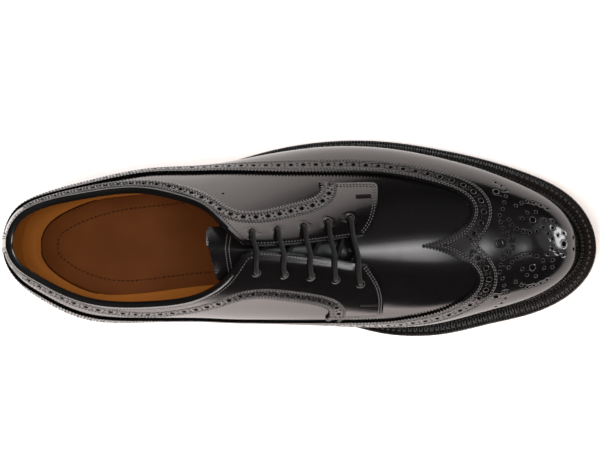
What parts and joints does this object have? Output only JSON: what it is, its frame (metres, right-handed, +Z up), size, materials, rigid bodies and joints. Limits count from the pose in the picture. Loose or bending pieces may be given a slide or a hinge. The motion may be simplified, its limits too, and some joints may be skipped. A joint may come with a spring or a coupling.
{
  "type": "brogue shoe",
  "caption": "Left derby dress shoe with a winged brogue toe, laced facings, stitched welt, leather sole and stacked heel.",
  "frame": {"origin": "centre of the heel's flat floor face, on the line from the back seam to the toe", "axes": "+X from the heel to the toe, +Y to the outer side of the left foot, +Z up"},
  "size_m": [0.3068, 0.104, 0.1056],
  "materials": {
    "black_leather": "black calf leather, polished to a high gloss",
    "welt_leather": "black dyed welt, waxed, with stitches",
    "outsole_leather": "tan sole leather, its edge inked black",
    "heel_leather": "stacked leather, its edge inked black",
    "heel_rubber": "black rubber, matt",
    "sock_leather": "tan glove leather, soft sheen",
    "lace_cord": "round waxed cotton cord, black"
  },
  "bodies": {
    "root": {"outsole": "outsole_leather", "welt": "welt_leather", "heel_stack": "heel_leather", "heel_lift": "heel_rubber", "insole": "sock_leather", "upper": "black_leather", "wing": "black_leather", "facing_outer": "black_leather", "facing_inner": "black_leather", "backstay": "black_leather", "tongue": "black_leather", "lace_bar_1": "lace_cord", "lace_bar_2": "lace_cord", "lace_bar_3": "lace_cord", "lace_bar_4": "lace_cord", "lace_bar_5": "lace_cord"}
  },
  "joints": []
}
